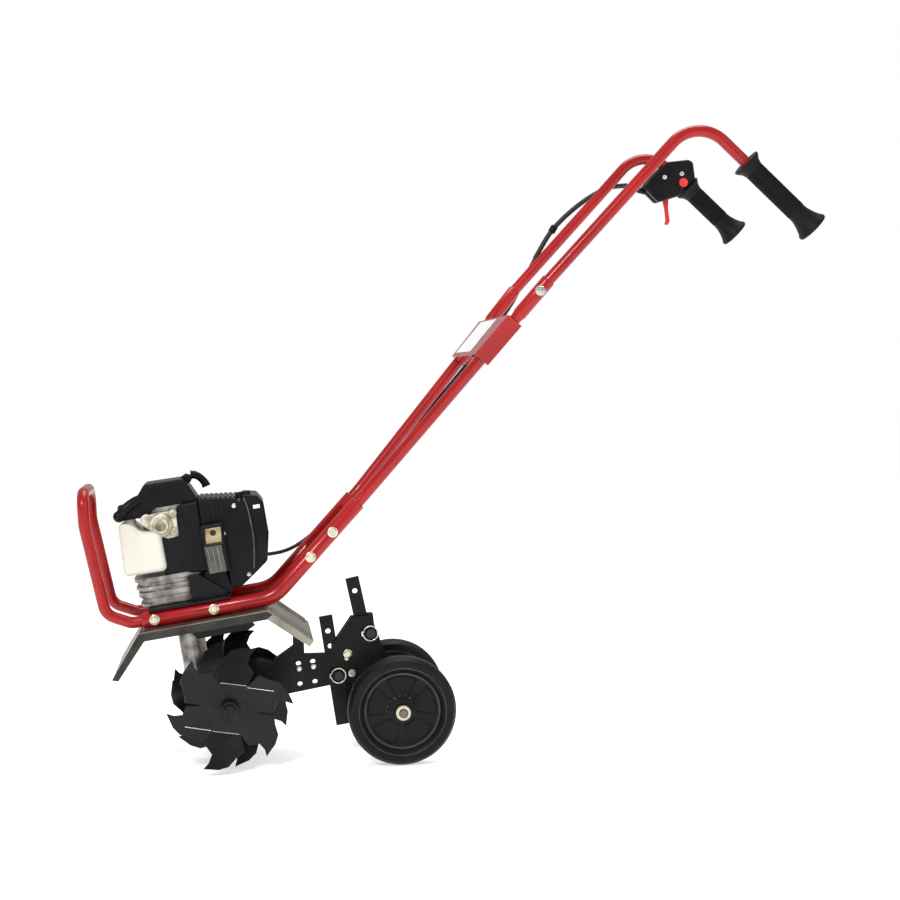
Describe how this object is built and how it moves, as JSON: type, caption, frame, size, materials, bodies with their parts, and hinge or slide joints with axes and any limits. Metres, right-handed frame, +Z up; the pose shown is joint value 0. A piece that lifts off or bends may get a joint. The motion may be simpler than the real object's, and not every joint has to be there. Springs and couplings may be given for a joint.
{
  "type": "mini cultivator tiller",
  "caption": "Small petrol tiller: engine on a tube deck over clawed tines, front carry handle, two transport wheels and long handlebars with throttle.",
  "frame": {"origin": "centre of the bounding box's bottom face, on the ground", "axes": "+X from the front carry handle to the rear grips, +Z up, -Y the operator's left"},
  "size_m": [1.2194, 0.411, 1.0397],
  "materials": {
    "red_paint": "gloss",
    "black_paint": "satin",
    "black_plastic": "matte",
    "red_plastic": "satin",
    "white_plastic": "satin",
    "white_label": "satin",
    "zinc": "dull plated",
    "steel": "satin",
    "cast_aluminium": "as cast",
    "bronze": "machined",
    "rubber": "matte",
    "wheel_plastic": "matte"
  },
  "bodies": {
    "chassis": {"front_carry_handle": "red_paint", "frame_tube_left": "red_paint", "frame_tube_right": "red_paint", "handle_lower_left": "red_paint", "handle_lower_right": "red_paint", "handle_upper_left": "red_paint", "handle_upper_right": "red_paint", "lower_cross_brace": "red_paint", "middle_cross_brace": "red_paint", "brace_label": "white_label", "tine_shield": "zinc", "engine_mount": "black_paint", "gearbox_half_left": "cast_aluminium", "gearbox_half_right": "cast_aluminium", "worm_shaft_bearing": "steel", "tine_shaft_bearing_left": "steel", "tine_shaft_bearing_right": "steel", "tine_shaft_seal_left": "rubber", "tine_shaft_seal_right": "rubber", "hitch_bracket": "black_paint", "drag_stake": "black_paint", "wheel_bar": "black_paint", "wheel_bracket": "black_paint", "wheel_axle": "zinc", "clutch_housing": "cast_aluminium", "crankcase": "cast_aluminium", "cylinder": "cast_aluminium", "piston": "cast_aluminium", "connecting_rod": "steel", "spark_plug": "white_plastic", "engine_shroud": "black_plastic", "muffler": "zinc", "muffler_guard": "zinc", "fuel_tank": "white_plastic", "starter_housing": "black_plastic", "carburettor": "cast_aluminium", "air_cleaner_cover": "black_plastic", "grip_left": "rubber", "throttle_grip": "black_plastic", "throttle_cable": "rubber"},
    "tine_rotor": {"tine_shaft": "steel", "worm_wheel": "bronze", "tine_left_outer": "black_paint", "tine_left_inner": "black_paint", "tine_right_inner": "black_paint", "tine_right_outer": "black_paint"},
    "worm_rotor": {"worm_shaft": "steel", "clutch_drum": "steel"},
    "crank_rotor": {"crankshaft": "steel", "flywheel": "cast_aluminium", "clutch_rotor": "steel"},
    "left_wheel": {"wheel_left": "wheel_plastic"},
    "right_wheel": {"wheel_right": "wheel_plastic"},
    "trigger": {"throttle_trigger": "red_plastic"},
    "stop": {"stop_button": "red_plastic"},
    "starter_handle": {"starter_grip": "black_plastic"},
    "filler_cap": {"fuel_cap": "black_plastic"},
    "choke": {"choke_lever": "red_plastic"},
    "upper_pin": {"hitch_pin_upper": "steel"},
    "lower_pin": {"hitch_pin_lower": "steel"}
  },
  "joints": [
    {"name": "tine_shaft_spin", "type": "hinge", "parent": "chassis", "child": "tine_rotor", "pos_m": [-0.37049, 0, 0.106], "axis": [0, 1, 0], "continuous": true},
    {"name": "worm_spin", "type": "hinge", "parent": "chassis", "child": "worm_rotor", "pos_m": [-0.43909, 0, 0.26], "axis": [-0.1444, 0, 0.9895], "continuous": true},
    {"name": "crankshaft_spin", "type": "hinge", "parent": "chassis", "child": "crank_rotor", "pos_m": [-0.43909, 0, 0.26], "axis": [-0.1444, 0, 0.9895], "continuous": true},
    {"name": "wheel_left_spin", "type": "hinge", "parent": "chassis", "child": "left_wheel", "pos_m": [-0.08799, -0.088, 0.09], "axis": [0, 1, 0], "continuous": true},
    {"name": "wheel_right_spin", "type": "hinge", "parent": "chassis", "child": "right_wheel", "pos_m": [-0.08799, 0.088, 0.09], "axis": [0, 1, 0], "continuous": true},
    {"name": "throttle_squeeze", "type": "hinge", "parent": "chassis", "child": "trigger", "pos_m": [0.43681, 0.178, 0.966], "axis": [0, -1, 0], "range_deg": [0, 22], "stiffness_Nm_per_rad": 0.3, "springref_deg": -11.46},
    {"name": "stop_press", "type": "slide", "parent": "chassis", "child": "stop", "axis": [0, 1, 0], "range_m": [0, 0.0025], "stiffness_N_per_m": 400},
    {"name": "starter_pull", "type": "slide", "parent": "chassis", "child": "starter_handle", "axis": [0.6691, 0, 0.7431], "range_m": [0, 0.6], "stiffness_N_per_m": 12, "springref_m": -0.1},
    {"name": "fuel_cap_turn", "type": "hinge", "parent": "chassis", "child": "filler_cap", "pos_m": [-0.52989, -0.025, 0.4185], "axis": [-0.1444, 0, 0.9895], "range_deg": [0, 360]},
    {"name": "choke_turn", "type": "hinge", "parent": "chassis", "child": "choke", "pos_m": [-0.37981, 0.1145, 0.39396], "axis": [0, 1, 0], "range_deg": [0, 60]},
    {"name": "hitch_pin_upper_pull", "type": "slide", "parent": "chassis", "child": "upper_pin", "axis": [0, -1, 0], "range_m": [0, 0.034]},
    {"name": "hitch_pin_lower_pull", "type": "slide", "parent": "chassis", "child": "lower_pin", "axis": [0, -1, 0], "range_m": [0, 0.034]}
  ],
  "couplings": [
    {"joint": "worm_spin", "follows": "tine_shaft_spin", "ratio": -24}
  ]
}
